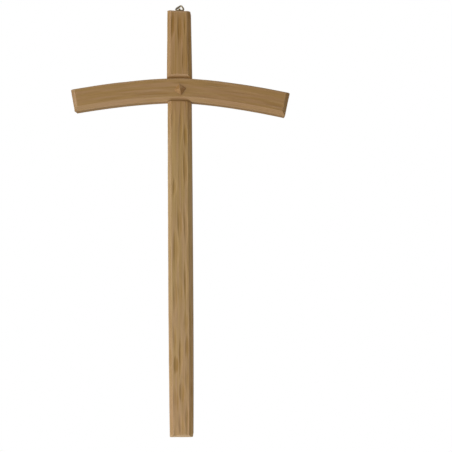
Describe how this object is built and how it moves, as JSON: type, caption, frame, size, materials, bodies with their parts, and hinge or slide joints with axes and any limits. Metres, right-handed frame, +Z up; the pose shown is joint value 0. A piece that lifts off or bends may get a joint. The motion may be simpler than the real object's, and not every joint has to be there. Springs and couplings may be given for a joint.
{
  "type": "wall cross",
  "caption": "Tall wall cross of pale gouge-carved wood: a bowed crossbar let into a slim bevelled post, a pyramid-headed peg in the joint, and a brass ring behind the top.",
  "frame": {"origin": "on the flat back of the post, behind the middle of the joint between post and crossbar", "axes": "+Y out of the back towards the wall, +Z up the post, +X along the crossbar to the viewer's right"},
  "size_m": [0.2421, 0.0184, 0.4811],
  "materials": {
    "post_wood": "pale carved wood, thinly waxed",
    "bar_wood": "pale carved wood, thinly waxed",
    "peg_wood": "pale cut wood, thinly waxed",
    "strap_brass": "aged brass",
    "screw_brass": "aged brass",
    "ring_brass": "aged brass wire"
  },
  "bodies": {
    "cross": {"upright_post": "post_wood", "crossbar": "bar_wood", "centre_peg": "peg_wood", "hanger_strap": "strap_brass", "hanger_screw": "screw_brass"},
    "ring": {"hanger_ring": "ring_brass"}
  },
  "joints": [
    {"name": "ring_swing", "type": "hinge", "parent": "cross", "child": "ring", "pos_m": [0, -0.0025, 0.0912], "axis": [1, 0, 0], "range_deg": [0, 128]}
  ]
}
